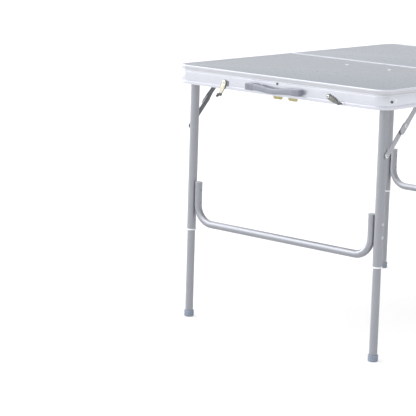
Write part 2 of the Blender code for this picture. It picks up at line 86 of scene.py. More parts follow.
BRACE_LEG = (LEG_X, 0.531)
BRACE_RIM = (0.3133, 0.674)
LOWER_LINK, LINK_T = 0.100, 0.0020
LINK_IN = LEG_R + 0.0007                  # from a leg's axis to the lower link
LINK_OUT = LINK_IN + LINK_T + 0.0016      # and to the upper link
LINK_HALF_W, TAIL_HALF_W, LINK_TAIL = 0.0076, 0.0092, 0.0175

HANDLE_Y, HANDLE_MOUNT = 0.0645, 0.0270
HANDLE_X, HANDLE_Z = -0.5115, 0.6680
LATCH_Y, LATCH_Z = 0.1735, 0.6685
LATCH_REST = {"left": 20.0, "right": 66.0}    # degrees from hanging straight down
TAB_MIDDLES = (("left", -0.0020), ("right", -0.0520))

HALVES = (("near", -1), ("far", 1))
SIDES = (("left", 1), ("right", -1))
GRAIN = "grain"               # UV map: metres along a piece, metres across it
MERGE = 1e-7                  # points closer than this are one
SIDE_SHARE = 0.49             # the most of a side that one rounded corner may take
TIGHTEST_MITRE = 0.2
INWARD = -0.7                 # a normal past this looks to the table's middle line
SOFT_SHARP, HARD_SHARP, RIB_SHARP = 38.0, 50.0, 30.0    # degrees at which an edge stays sharp

# ---- the camera -------------------------------------------------------------------------
CAMERA_AT = (-4.1701, -2.9806, 1.2610)
CAMERA_YAW, CAMERA_PITCH, CAMERA_ROLL = -49.912, 9.990, 1.899
CAMERA_LENS, SENSOR = 159.77, 36.0
CAMERA_SHIFT = (-0.0772, -0.0681)
CAMERA_REACH = 100.0


# ---- material helpers -------------------------------------------------------------------
# Noise scales are in cells to the metre.
DIE_LINES = (5.0, 1400.0, 1.0)            # along a piece, across it, and not used
FIBRES = (180.0, 900.0, 180.0)
GRIT = 2600.0


class Look:
    """A material being made: its node tree, its shader, and short ways to add nodes."""

    def __init__(self, name, colour, roughness, metallic=0.0):
        self.mat = bpy.data.materials.new(name)
        self.mat.use_nodes = True
        self.tree = self.mat.node_tree
        self.shader = self.tree.nodes["Principled BSDF"]
        self.set("Base Color", (*colour, 1.0))
        self.set("Roughness", roughness)
        self.set("Metallic", metallic)

    def set(self, socket, value):
        self.shader.inputs[socket].default_value = value

    def node(self, kind, **values):
        made = self.tree.nodes.new("ShaderNode" + kind)
        for key, value in values.items():
            if key in made.inputs:
                made.inputs[key].default_value = value
            else:
                setattr(made, key, value)
        return made

    def link(self, out, into):
        self.tree.links.new(out, into)

    def place(self, scale, grain=False):
        """Coordinates in metres times scale: in the grain map, or in the table's frame."""
        if grain:
            source = self.node("UVMap", uv_map=GRAIN).outputs["UV"]
        else:
            source = self.node("TexCoord").outputs["Object"]
        mapping = self.node("Mapping")
        mapping.inputs["Scale"].default_value = scale
        self.link(source, mapping.inputs["Vector"])
        return mapping.outputs["Vector"]

    def noise(self, scale, grain=False, detail=3.0, rough=0.55):
        """Soft noise from 0 to 1, with a scale for each axis."""
        made = self.node("TexNoise", Scale=1.0, Detail=detail, Roughness=rough)
        self.link(self.place(scale, grain), made.inputs["Vector"])
        return made.outputs["Fac"]

    def even_noise(self, scale, detail, rough=0.55):
        """The same scale all ways, in the table's frame."""
        return self.noise((scale, scale, scale), detail=detail, rough=rough)

    def ramp(self, value, stops, into):
        """Maps a 0..1 value through (position, grey or colour) stops to a socket."""
        made = self.node("ValToRGB")
        band = made.color_ramp
        while len(band.elements) < len(stops):
            band.elements.new(0.5)
        for element, (at, colour) in zip(band.elements, stops):
            element.position = at
            if isinstance(colour, float):
                colour = (colour, colour, colour)
            element.color = (*colour, 1.0)
        self.link(value, made.inputs["Fac"])
        self.link(made.outputs["Color"], into)

    def mix(self, a, b, share):
        """a and b, mixed by share: each is a socket."""
        made = self.node("Mix", data_type='FLOAT')
        self.link(a, made.inputs[2])
        self.link(b, made.inputs[3])
        made.inputs[0].default_value = share
        return made.outputs[0]

    def bump(self, value, depth, strength):
        """Relief: depth in metres, for a value from 0 to 1."""
        made = self.node("Bump", Strength=strength, Distance=depth)
        self.link(value, made.inputs["Height"])
        self.link(made.outputs["Normal"], self.shader.inputs["Normal"])


def tint(colour, factor):
    """The colour made lighter or darker."""
    return tuple(min(1.0, c * factor) for c in colour)


def drawn_metal(name, colour, roughness, contrast=0.06, metallic=1.0):
    """Extruded or drawn aluminium, anodised: fine lines along the piece, a faint haze."""
    look = Look(name, colour, roughness, metallic)
    lines = look.noise(DIE_LINES, grain=True, detail=4.0, rough=0.7)
    haze = look.even_noise(38.0, detail=4.0)
    both = look.mix(lines, haze, 0.45)
    look.ramp(both, [(0.30, tint(colour, 1 - contrast)), (0.50, colour),
                     (0.70, tint(colour, 1 + contrast / 2))], look.shader.inputs["Base Color"])
    look.ramp(both, [(0.25, roughness - 0.06), (0.75, roughness + 0.07)],
              look.shader.inputs["Roughness"])
    look.bump(lines, 0.000012, 0.5)
    return look.mat


def plated_steel(name, colour, roughness):
    """Zinc-plated or stamped steel: soft crystalline patches and fine scuffs."""
    look = Look(name, colour, roughness, 1.0)
    cells = look.node("TexVoronoi", Scale=1.0)
    look.link(look.place((420.0, 420.0, 420.0)), cells.inputs["Vector"])
    patches = look.even_noise(160.0, detail=5.0, rough=0.65)
    both = look.mix(patches, cells.outputs["Distance"], 0.35)
    look.ramp(both, [(0.30, tint(colour, 0.78)), (0.52, colour), (0.70, tint(colour, 1.15))],
              look.shader.inputs["Base Color"])
    look.ramp(patches, [(0.30, roughness + 0.12), (0.70, roughness - 0.08)],
              look.shader.inputs["Roughness"])
    look.bump(patches, 0.00004, 0.4)
    return look.mat


def moulded_plastic(name, colour, roughness, contrast=0.10):
    """Injection-moulded plastic: spark-eroded grain and slight flow marks."""
    look = Look(name, colour, roughness)
    grain = look.even_noise(GRIT, detail=2.0)
    flow = look.even_noise(60.0, detail=4.0, rough=0.6)
    both = look.mix(flow, grain, 0.35)
    look.ramp(both, [(0.32, tint(colour, 1 - contrast)), (0.50, colour),
                     (0.68, tint(colour, 1 + contrast))], look.shader.inputs["Base Color"])
    look.ramp(flow, [(0.30, roughness + 0.06), (0.70, roughness - 0.06)],
              look.shader.inputs["Roughness"])
    look.bump(grain, 0.00005, 0.35)
    return look.mat


def laminate(name):
    """Melamine laminate: a mottled blue-grey print under a satin, slightly uneven coat."""
    colour = (0.158, 0.176, 0.203)
    look = Look(name, colour, 0.30)
    look.set("Coat Weight", 0.15)
    look.set("Coat Roughness", 0.18)
    speck = look.even_noise(620.0, detail=2.0, rough=0.6)
    marble = look.even_noise(95.0, detail=6.0, rough=0.62)
    cloud = look.even_noise(13.0, detail=4.0)
    mottle = look.mix(look.mix(marble, cloud, 0.35), speck, 0.30)
    look.ramp(mottle, [(0.36, tint(colour, 0.96)), (0.46, tint(colour, 0.99)),
                       (0.54, tint(colour, 1.01)), (0.66, tint(colour, 1.04))],
              look.shader.inputs["Base Color"])
    look.ramp(marble, [(0.30, 0.26), (0.70, 0.34)], look.shader.inputs["Roughness"])
    ripple = look.even_noise(240.0, detail=3.0)
    look.bump(ripple, 0.00001, 0.15)
    return look.mat


def backing_board(name):
    """The boards' plain underside: pale melamine paper over fibreboard."""
    colour = (0.46, 0.46, 0.45)
    look = Look(name, colour, 0.55)
    fibre = look.noise(FIBRES, detail=5.0, rough=0.7)
    look.ramp(fibre, [(0.32, tint(colour, 0.88)), (0.55, colour), (0.72, tint(colour, 1.08))],
              look.shader.inputs["Base Color"])
    look.bump(fibre, 0.00005, 0.3)
    return look.mat


LAMINATE = laminate("laminate_grey")
BACKING = backing_board("board_backing")
RIM = drawn_metal("rim_anodised", (0.588, 0.599, 0.650), 0.33, contrast=0.04, metallic=0.90)
RAIL = drawn_metal("rail_anodised", (0.53, 0.54, 0.59), 0.36, contrast=0.04, metallic=0.90)
# Painted shade: the darker band in the recess under the rim's top lip.
RIM_SHADE_BAND = drawn_metal("rim_band_painted_shade", (0.50, 0.51, 0.54), 0.34, contrast=0.05, metallic=0.90)
TUBE = drawn_metal("tube_anodised", (0.325, 0.334, 0.362), 0.48)
BRACE = drawn_metal("brace_aluminium", (0.36, 0.37, 0.395), 0.42, contrast=0.08)
RIVET_DULL = plated_steel("rivet_dull", (0.30, 0.31, 0.33), 0.50)
# Painted shade: the darker tone on the brace links' inner faces, which turn to the table's middle
# line.
BRACE_PAINTED_SHADE = drawn_metal("brace_inside_painted_shade", (0.17, 0.175, 0.19), 0.55, contrast=0.08)
RIVET = plated_steel("rivet_bright", (0.78, 0.79, 0.81), 0.34)
AXLE_HEAD = plated_steel("axle_head_bright", (0.72, 0.73, 0.76), 0.45)
STEEL = plated_steel("zinc_plated_steel", (0.52, 0.53, 0.54), 0.42)
# The mandrel stub's near-black tone: painted shade in a blind rivet's hole.
MANDREL_PAINTED_SHADE = plated_steel("mandrel_painted_shade", (0.10, 0.10, 0.11), 0.50)
# The two latches are one part. Their tones differ by painted reflection: a pale one on the left
# latch, a dark one on the right.
LATCH_PAINTED_DARK = plated_steel("latch_painted_dark_reflection", (0.22, 0.22, 0.20), 0.40)
# Dark steel: on the latches' backing, tip and knob it is painted shade. It is also the flange of
# some rivets on the rim.
LATCH_EDGE = plated_steel("latch_edge_dark", (0.13, 0.13, 0.13), 0.42)
LATCH_PAINTED_BRIGHT = plated_steel("latch_painted_bright_reflection", (0.72, 0.69, 0.58), 0.38)
BRASS = plated_steel("tab_brass", (0.38, 0.34, 0.18), 0.42)
GRIP = moulded_plastic("grip_plastic", (0.200, 0.211, 0.247), 0.46)
# Painted shadow: the tone of the dark oval sheet beside the left latch.
LATCH_SHADOW_TONE = moulded_plastic("latch_shadow_painted", (0.14, 0.15, 0.175), 0.50)
FOOT = moulded_plastic("foot_plastic", (0.200, 0.235, 0.290), 0.52)
COLLAR = moulded_plastic("collar_plastic", (0.70, 0.71, 0.73), 0.40, contrast=0.04)
WHITE_CAP = moulded_plastic("cap_white", (0.62, 0.62, 0.64), 0.38, contrast=0.04)
PLUG = moulded_plastic("plug_plastic", (0.29, 0.30, 0.32), 0.50)


# ---- mesh helpers -----------------------------------------------------------------------
def arc(cx, cy, radius, start, end, steps):
    """Points on an arc, angles in degrees."""
    angles = [math.radians(start + (end - start) * i / steps) for i in range(steps + 1)]
    return [(cx + radius * math.cos(a), cy + radius * math.sin(a)) for a in angles]


def circle(radius, steps):
    """Points round a full circle about the origin."""
    return arc(0.0, 0.0, radius, 0.0, 360.0, steps)[:-1]


def rounded(corners, closed=True, steps=4):
    """An outline through (x, y, rounding) corners, each cut back and blended."""
    out = []
    count = len(corners)
    for i, (x, y, cut) in enumerate(corners):
        here = Vector((x, y))
        if cut == 0.0 or (not closed and i in (0, count - 1)):
            out.append((x, y))
            continue
        back = Vector(corners[i - 1][:2]) - here
        on = Vector(corners[(i + 1) % count][:2]) - here
        a = here + back.normalized() * min(cut, back.length * SIDE_SHARE)
        b = here + on.normalized() * min(cut, on.length * SIDE_SHARE)
        for s in range(steps + 1):
            t = s / steps
            p = a * (1 - t) ** 2 + here * 2 * t * (1 - t) + b * t ** 2
            out.append((p.x, p.y))
    return out


def finish_piece(name, bm, mat, body, replaced=(), sharp=SOFT_SHARP):
    """Makes the object, shades it smooth but for sharp edges, and hangs it on its body."""
    bmesh.ops.remove_doubles(bm, verts=bm.verts, dist=MERGE)
    bmesh.ops.recalc_face_normals(bm, faces=bm.faces)
    mesh = bpy.data.meshes.new(name)
    bm.to_mesh(mesh)
    bm.free()
    mesh.shade_smooth()
    mesh.set_sharp_from_angle(angle=math.radians(sharp))
    for each in (mat if isinstance(mat, list) else [mat]):
        mesh.materials.append(each)
    obj = bpy.data.objects.new(name, mesh)
    bpy.context.scene.collection.objects.link(obj)
    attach(obj, body)
    if replaced:
        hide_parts(*replaced)


def lengths(points):
    """Running length at each point of a closed ring, its start counted again at the end."""
    run = [0.0]
    for a, b in zip(points, points[1:] + points[:1]):
        run.append(run[-1] + (Vector(b) - Vector(a)).length)
    return run


def skin(rings, cap=True, loop=False):
    """A surface through rings of points, with the grain map on it."""
    bm = bmesh.new()
    grain = bm.loops.layers.uv.new(GRAIN)
    rows = [[bm.verts.new(p) for p in ring] for ring in rings]
    across = lengths(max(rings, key=lambda ring: lengths(ring)[-1]))
    middle = [sum((Vector(p) for p in ring), Vector()) / len(ring) for ring in rings]
    along = lengths(middle)
    if loop:
        rows.append(rows[0])
    count = len(rings[0])
    for i in range(len(rows) - 1):
        for j in range(count):
            k = (j + 1) % count
            face = bm.faces.new((rows[i][j], rows[i][k], rows[i + 1][k], rows[i + 1][j]))
            spots = ((i, j), (i, j + 1), (i + 1, j + 1), (i + 1, j))
            for corner, (s, t) in zip(face.loops, spots):
                corner[grain].uv = (along[s], across[t])
    if cap and not loop:
        for row in (rows[0], rows[-1]):
            if len({tuple(v.co) for v in row}) > 2:
                face = bm.faces.new(row)
                for corner in face.loops:
                    corner[grain].uv = (corner.vert.co.x + corner.vert.co.z,
                                        corner.vert.co.y)
    return bm


def sweep(section, route, up):
    """A section of (outward, up) offsets carried along a flat route with mitred corners."""
    up = Vector(up)
    points = [Vector(p) for p in route]
    rings = []
    for i, p in enumerate(points):
        back = (p - points[i - 1]).normalized() if i else None
        on = (points[i + 1] - p).normalized() if i + 1 < len(points) else None
        tangent = ((back or on) + (on or back)).normalized()
        stretch = 1.0 / max(TIGHTEST_MITRE, tangent.dot(on or back))
        out = tangent.cross(up).normalized()
        rings.append([tuple(p + out * a * stretch + up * b) for a, b in section])
    return skin(rings)


def lathe(profile, at, axis=(0.0, 0.0, 1.0), steps=48, closed=False):
    """A (radius, height) profile turned about an axis through a point."""
    turn = Vector(axis).to_track_quat('Z', 'Y').to_matrix().to_4x4()
    place = Matrix.Translation(at) @ turn
    ring = circle(1.0, steps)
    rings = [[tuple(place @ Vector((r * c, r * s, h))) for c, s in ring] for r, h in profile]
    return skin(rings, cap=not closed, loop=closed)


AXES = {                       # outline (u, v) and depth w to world
    "XZ": lambda u, v, w: (u, w, v),
    "YZ": lambda u, v, w: (w, u, v),
}


def slab(outline, lo, hi, plane, edge):
    """A flat outline with thickness, its rims rounded off by edge."""
    to_world = AXES[plane]
    bm = bmesh.new()
    grain = bm.loops.layers.uv.new(GRAIN)
    low = [bm.verts.new(to_world(u, v, lo)) for u, v in outline]
    high = [bm.verts.new(to_world(u, v, hi)) for u, v in outline]
    bm.faces.new(low[::-1])
    bm.faces.new(high)
    rims = []
    for i in range(len(outline)):
        k = (i + 1) % len(outline)
        bm.faces.new((low[i], low[k], high[k], high[i]))
        rims.append(bm.edges.get((low[i], low[k])))
        rims.append(bm.edges.get((high[i], high[k])))
    bmesh.ops.bevel(bm, geom=rims, offset=edge, segments=3, profile=0.5, affect='EDGES',
                    clamp_overlap=True)
    us = [u for u, v in outline]
    vs = [v for u, v in outline]
    tall = max(vs) - min(vs) > max(us) - min(us)
    for face in bm.faces:
        for corner in face.loops:
            x, y, z = corner.vert.co
            u = x if plane == "XZ" else y
            corner[grain].uv = (z, u) if tall else (u, z)
    return bm


def turn_uv(bm, direction):
    """Lays the grain map along a direction in the XZ plane."""
    grain = bm.loops.layers.uv[GRAIN]
    c, s = direction
    for face in bm.faces:
        for corner in face.loops:
            x, _, z = corner.vert.co
            corner[grain].uv = (x * c + z * s, z * c - x * s)
    return bm


def mark_inside(bm, sy):
    """Gives the faces turned to the table's middle line the second, darker material: painted
    shade.
    """
    bmesh.ops.recalc_face_normals(bm, faces=bm.faces)
    for face in bm.faces:
        face.material_index = int(face.normal.y * sy < INWARD)
    return bm


def joined(*parts):
    """Several meshes as one; each part after the first is (mesh, material index)."""
    whole = parts[0]
    for bm, index in parts[1:]:
        for face in bm.faces:
            face.material_index = index
        mesh = bpy.data.meshes.new("part")
        bm.to_mesh(mesh)
        bm.free()
        whole.from_mesh(mesh)
        bpy.data.meshes.remove(mesh)
    return whole


# ---- rivets -----------------------------------------------------------------------------
RIVET_STEPS = 28
SHANK_R = 0.0024
POP_HEIGHT, DOME_HEIGHT = 0.0012, 0.0016
MANDREL_SHARE = 0.46          # the mandrel's hole, as a share of the flange
DOME_EDGE, DOME_RINGS = 0.15, 7


def pop_rivet(name, at, axis, radius, body, flange=RIVET, replaced=(), shank=0.0):
    """A blind rivet: low domed flange, a sunken mandrel stub in its middle whose near-black tone
    is painted shade in the rivet's hole.
    """
    height = POP_HEIGHT
    hole = radius * MANDREL_SHARE
    profile = rounded([(SHANK_R, -shank, 0.0), (SHANK_R, 0.0, 0.0), (radius * 0.94, 0.0, 0.0),
                       (radius, 0.0002, 0.0002), (radius * 0.86, height * 0.72, 0.0004),
                       (hole * 1.25, height, 0.0004), (hole, height * 0.8, 0.0002),
                       (hole, height * 0.25, 0.0)], closed=False)
    if not shank:
        profile = profile[1:]
    stub = [(0.0, height * 0.25), (hole * 0.98, height * 0.25), (hole * 0.98, height * 0.4),
            (hole * 0.5, height * 0.62), (0.0, height * 0.62)]
    bm = joined(lathe(profile, at, axis, RIVET_STEPS), (lathe(stub, at, axis, RIVET_STEPS), 1))
    finish_piece(name, bm, [flange, MANDREL_PAINTED_SHADE], body, replaced)


def dome_rivet(name, at, axis, radius, body, mat=RIVET, replaced=(), height=DOME_HEIGHT,
               shank=0.0, shank_r=SHANK_R):
    """A solid rivet with a round head, and a shank where one shows."""
    profile = [(0.0, -shank)]
    if shank:
        profile += [(shank_r, -shank), (shank_r, 0.0)]
    profile += [(radius, 0.0), (radius, height * DOME_EDGE)]
    for i in range(1, DOME_RINGS):
        a = math.pi / 2 * i / DOME_RINGS
        rise = DOME_EDGE + (1.0 - DOME_EDGE) * math.sin(a)
        profile.append((radius * math.cos(a), height * rise))
    profile.append((0.0, height))
    finish_piece(name, lathe(profile, at, axis, RIVET_STEPS), mat, body, replaced)


# ---- half tops ----------------------------------------------------------------------------
# Each corner: mm in from the outside, height in metres, rounding in mm.
RIM_SECTION = rounded([(inset * MM, z, r * MM) for inset, z, r in (
    (8.0, TOP, 0.4), (0.0, TOP, 0.9), (0.0, TOP - 4.2 * MM, 0.6), (1.3, TOP - 4.5 * MM, 0.2),
    (1.0, TOP - 11.0 * MM, 0.3), (2.3, TOP - 11.2 * MM, 0.2), (2.3, TOP - 12.5 * MM, 0.2),
    (1.0, TOP - 12.6 * MM, 0.2), (1.0, TOP - 15.4 * MM, 0.2), (1.5, TOP - 15.7 * MM, 0.2),
    (1.5, TOP - 16.5 * MM, 0.2), (0.8, TOP - 16.6 * MM, 0.2), (0.8, LOW + 10.4 * MM, 0.3),
    (2.1, LOW + 10.0 * MM, 0.3), (2.1, LOW + 8.0 * MM, 0.3), (0.1, LOW + 7.8 * MM, 0.3),
    (0.0, LOW, 1.2),
    (8.0, LOW, 0.4), (8.0, LOW + 1.6 * MM, 0.4), (3.0, LOW + 1.6 * MM, 0.6),
    (3.0, SHELF - 1.4 * MM, 0.4), (12.0, SHELF - 1.4 * MM, 0.4), (12.0, SHELF, 0.4),
    (3.0, SHELF, 0.3), (3.0, TOP - LIP_T, 0.3), (8.0, TOP - LIP_T, 0.4))], steps=3)
SHADE_BAND_LOW, SHADE_BAND_HIGH = TOP - 12.55 * MM, TOP - 4.4 * MM    # the darker band under the lip: painted shade
CORNER_STEPS = 18


def half_route(hx, hy, radius, seam, sx):
    """Plan line round three sides of a half, from the seam and back to it."""
    line = ([(-seam, hy)]
            + arc(-(hx - radius), hy - radius, radius, 90, 180, CORNER_STEPS)
            + arc(-(hx - radius), -(hy - radius), radius, 180, 270, CORNER_STEPS)
            + [(-seam, -hy)])
    if sx > 0:
        line = [(-x, -y) for x, y in line]
    return line


def rim(end, sx):
    """The extrusion bent round three sides of a half, lips, grooves and ledge in one."""
    section = [(-inset, z) for inset, z in RIM_SECTION]
    route = [(x, y, 0.0) for x, y in half_route(HALF_L, HALF_W, CORNER_R, GAP, sx)]
    bm = sweep(section, route, (0.0, 0.0, 1.0))
    for face in bm.faces:
        # Faces in the band under the lip take the second, darker material: painted shade.
        face.material_index = int(SHADE_BAND_LOW < face.calc_center_median().z < SHADE_BAND_HIGH)
    finish_piece(f"rim_frame_{end}", bm, [RIM, RIM_SHADE_BAND], f"{end}_half", [f"rim_{end}"],
                 HARD_SHARP)


def board(end, sx):
    """The laminate panel: a stepped edge in the rim's slot, a softly rounded raised field."""
    def ring(inset, seam, z):
        radius = CORNER_R - inset
        return [(x, y, z) for x, y in half_route(HALF_L - inset, HALF_W - inset, radius,
                                                 seam, sx)]
    edge, field = 3.4 * MM, LIP + GAP
    seam_edge, seam_field = 2.6 * MM, 9.6 * MM
    step = TOP - LIP_T - GAP
    ease, half_ease = 0.5 * MM, 0.15 * MM
    rings = [ring(edge, seam_edge, SHELF + GAP),
             ring(edge, seam_edge, step),
             ring(field, seam_field, step),
             ring(field, seam_field, BOARD_TOP - ease),
             ring(field + half_ease, seam_field + half_ease, BOARD_TOP - half_ease),
             ring(field + ease, seam_field + ease, BOARD_TOP)]
    bm = skin(rings)
    underside = SHELF + 0.5 * MM
    for f in bm.faces:
        f.material_index = int(f.calc_center_median().z < underside)
    finish_piece(f"table_board_{end}", bm, [LAMINATE, BACKING], f"{end}_half",
                 [f"top_panel_{end}"])


def seam_rail(end, sx):
    """The straight extrusion along the middle of the table."""
    section = rounded([(sx * u * MM, z, r * MM) for u, z, r in (
        (9.0, TOP, 0.4), (0.3, TOP, 0.9), (0.3, LOW, 0.9), (10.0, LOW, 0.4),
        (10.0, LOW + 1.6 * MM, 0.4), (2.0, LOW + 1.6 * MM, 0.6), (2.0, SHELF - 1.4 * MM, 0.4),
        (12.0, SHELF - 1.4 * MM, 0.4), (12.0, SHELF, 0.4), (2.0, SHELF, 0.3),
        (2.0, TOP - LIP_T, 0.3), (9.0, TOP - LIP_T, 0.4))], steps=3)
    half = HALF_W - LIP - 0.1 * MM
    rings = [[(x, y, z) for x, z in section] for y in (-half, half)]
    finish_piece(f"seam_strip_{end}", skin(rings), RAIL, f"{end}_half", [f"seam_rail_{end}"],
                 HARD_SHARP)


# ---- legs -------------------------------------------------------------------------------
AXLE_R, AXLE_SHANK_R, AXLE_SHANK_END = 0.0052, 0.0029, LEG_Y - 0.0165
AXLE_END_R, AXLE_END_Y = 0.0046, LEG_Y - 0.0158
CASE_RIVET_R = 0.0036
BAR_RIVET_R, BAR_RIVET_IN_R, BAR_RIVET_IN_HEIGHT = 0.0042, 0.0034, 0.0010
BAR_SIDES, BEND_STEPS = 36, 16
SUNK = 0.0002                 # how far a rivet's foot is let into a round tube
FOOT_STEPS, FOOT_RIBS, RIB_DEPTH = 144, 24, 0.0005


def tube(name, radius, bore, top, bottom, x, y, body, replaced):
    """An upright tube with a real wall and eased ends."""
    soft = 0.3 * MM
    profile = [(bore, top - soft), (bore + soft, top), (radius - soft, top),
               (radius, top - soft), (radius, bottom + soft), (radius - soft, bottom),
               (bore + soft, bottom), (bore, bottom + soft)]
    bm = lathe(profile, (x, y, 0.0), steps=56, closed=True)
    finish_piece(name, bm, TUBE, body, [replaced])


def foot_cap(name, x, y, body, replaced):
    """A push-on cap: a plain top band, grip ribs on the skirt, a dished tread."""
    # radius, height, and how much of the rib depth shows there
    stations = [(0.0, 0.0038, 0), (SLIDE_R + GAP, 0.0038, 0), (SLIDE_R + GAP, FOOT_H - 0.0006, 0),
                (SLIDE_R + 0.0008, FOOT_H, 0), (FOOT_R - 0.0006, FOOT_H, 0),
                (FOOT_R, FOOT_H - 0.0007, 0), (FOOT_R, FOOT_H - 0.0046, 0),
                (FOOT_R - 0.0004, FOOT_H - 0.0052, 0), (FOOT_R - 0.0004, FOOT_H - 0.0062, 1),
                (FOOT_R - 0.0002, 0.0030, 1), (FOOT_R - 0.0004, 0.0018, 0),
                (FOOT_R - 0.0018, 0.0003, 0), (FOOT_R - 0.0024, 0.0, 0), (0.0062, 0.0, 0),
                (0.0056, 0.0007, 0), (0.0, 0.0007, 0)]
    rings = []
    for radius, z, ribbed in stations:
        ring = []
        for i in range(FOOT_STEPS):
            angle = math.tau * i / FOOT_STEPS
            dip = RIB_DEPTH * max(0.0, math.cos(FOOT_RIBS * angle)) * ribbed
            ring.append((x + (radius - dip) * math.cos(angle),
                         y + (radius - dip) * math.sin(angle), z))
        rings.append(ring)
    finish_piece(name, skin(rings), FOOT, body, [replaced], HARD_SHARP)


def leg_ring(tag, x, y, body):
    """The plastic ring pushed on the outer tube's end."""
    z = LEG_END_Z
    profile = rounded([(LEG_BORE_R, z - GAP, 0.0), (LEG_R + GAP, z - GAP, 0.0),
                       (LEG_R + GAP, z + 0.0008, 0.0), (0.0129, z + 0.0008, 0.0003),
                       (0.0132, z + 0.0004, 0.0003), (0.0132, z - 0.0024, 0.0004),
                       (0.0125, z - 0.0031, 0.0004), (LEG_BORE_R, z - 0.0034, 0.0)])
    finish_piece(f"leg_ring_{tag}", lathe(profile, (x, y, 0.0), steps=48, closed=True), COLLAR,
                 body, [f"leg_collar_{tag}"])


def leg_rivets(end, tag, x, sx, sy):
    """The leg's pivot, one rivet of the case beside it, and those that hold the crossbar."""
    half, frame_body = f"{end}_half", f"{end}_legs"
    out, inward = (0.0, sy, 0.0), (0.0, -sy, 0.0)
    outside = HALF_W - FACE_INSET
    dome_rivet(f"leg_axle_{tag}", (x, sy * outside, PIVOT_Z), out, AXLE_R, half, AXLE_HEAD,
               [f"leg_pin_{tag}"], shank=outside - AXLE_SHANK_END, shank_r=AXLE_SHANK_R)
    pop_rivet(f"case_rivet_{tag}", (sx * CASE_RIVET[0], sy * outside, CASE_RIVET[1]), out,
              CASE_RIVET_R, half, LATCH_EDGE)
    dome_rivet(f"leg_axle_end_{tag}", (x, sy * AXLE_END_Y, PIVOT_Z), inward, AXLE_END_R, half)
    for n, z in enumerate(BAR_RIVET_Z):
        dome_rivet(f"bar_rivet_{tag}_{n}", (x, sy * (LEG_Y + LEG_R - SUNK), z), out,
                   BAR_RIVET_R, frame_body, STEEL)
        dome_rivet(f"bar_rivet_in_{tag}_{n}", (x, sy * (BAR_Y - BAR_R + SUNK), z), inward,
                   BAR_RIVET_IN_R, frame_body, RIVET_DULL, height=BAR_RIVET_IN_HEIGHT)


def leg(end, side, sx, sy):
    """Outer tube and ring on the leg frame; inner tube and foot on the slide."""
    tag = f"{end}_{side}"
    x, y = sx * LEG_X, sy * LEG_Y
    frame_body, slide_body = f"{end}_legs", f"{end}_{side}_slide"
    tube(f"leg_outer_{tag}", LEG_R, LEG_BORE_R, LEG_TOP_Z, LEG_END_Z, x, y, frame_body,
         f"leg_tube_{tag}")
    tube(f"leg_inner_{tag}", SLIDE_R, SLIDE_BORE_R, SLIDE_TOP_Z, SLIDE_END_Z, x, y, slide_body,
         f"leg_slide_{tag}")
    leg_ring(tag, x, y, frame_body)
    foot_cap(f"leg_foot_{tag}", x, y, slide_body, f"foot_cap_{tag}")
    leg_rivets(end, tag, x, sx, sy)


def crossbar(end, sx):
    """The bent tube that joins two legs, a plug in each upturned end."""
    x, r = sx * LEG_X, BAR_BEND_R
    tube_end = BAR_TOP_Z - 0.0022             # the plug stands above it
    line = ([(-BAR_Y, tube_end)]
            + arc(-BAR_Y + r, BAR_Z + r, r, 180, 270, BEND_STEPS)
            + arc(BAR_Y - r, BAR_Z + r, r, 270, 360, BEND_STEPS)
            + [(BAR_Y, tube_end)])
    route = [(x, y, z) for y, z in line]
    bm = sweep(circle(BAR_R, BAR_SIDES), route, (1.0, 0.0, 0.0))
    finish_piece(f"foot_bar_{end}", bm, TUBE, f"{end}_legs", [f"crossbar_{end}"])
    for side, sy in SIDES:
        z = BAR_TOP_Z
        cap = rounded([(0.0, z - 0.0026, 0.0), (BAR_R + 0.0004, z - 0.0026, 0.0002),
                       (BAR_R + 0.0004, z - 0.0006, 0.0005), (BAR_R - 0.0022, z, 0.0006),
                       (BAR_R - 0.0040, z - 0.0004, 0.0004), (0.0, z - 0.0004, 0.0)],
                      closed=False)
        finish_piece(f"bar_plug_{end}_{side}", lathe(cap, (x, sy * BAR_Y, 0.0), steps=40), PLUG,
                     f"{end}_legs")


# ---- braces -----------------------------------------------------------------------------
LINK_RIVET_R, LINK_SHANK = 0.0046, 0.0030
LINK_STEP = 0.022             # from the knee to where the upper link widens
TAPER_END = 0.45              # the share of that at which it is full width
LINK_END_STEPS = 12
BRACKET_RIVET_R, BRACKET_RIVET_HEIGHT = 0.0030, 0.0012
BRACKET_RIVETS = ((-0.012, -0.0125), (0.012, -0.0125))    # along and up from the link's pivot
BRACKET_T = 0.0022
KNEE_WASHER = [(0.0, 0.0), (0.0050, 0.0), (0.0054, 0.0003), (0.0054, 0.0010), (0.0050, 0.0013),
               (0.0, 0.0013)]


def link_outline(a, b, half_a, half_b, tail=0.0, step_at=0.0):
    """A flat bar with round ends from a to b and on by the tail, wider past step_at."""
    along = Vector(b) - Vector(a)
    span = along.length
    along.normalize()
    across = Vector((-along.y, along.x))
    end = span + tail
    local = arc(0.0, 0.0, half_a, 90, 270, LINK_END_STEPS)
    far = arc(end, 0.0, half_b, -90, 90, LINK_END_STEPS)
    if step_at:
        narrow, wide = span - step_at, span - step_at * TAPER_END
        local += [(narrow, -half_a), (wide, -half_b)]
        far += [(wide, half_b), (narrow, half_a)]
    return [tuple(Vector(a) + along * u + across * v) for u, v in local + far]


def link(name, outline, depth, edge, way, sy, body, replaced):
    """One flat bar of a brace, starting at a depth outward of the leg's axis."""
    lo, hi = sorted((sy * (LEG_Y + depth), sy * (LEG_Y + depth + LINK_T)))
    bm = turn_uv(slab(outline, lo, hi, "XZ", edge), way)
    # The faces turned inward take the second, darker material: painted shade.
    finish_piece(name, mark_inside(bm, sy), [BRACE, BRACE_PAINTED_SHADE], body, [replaced])


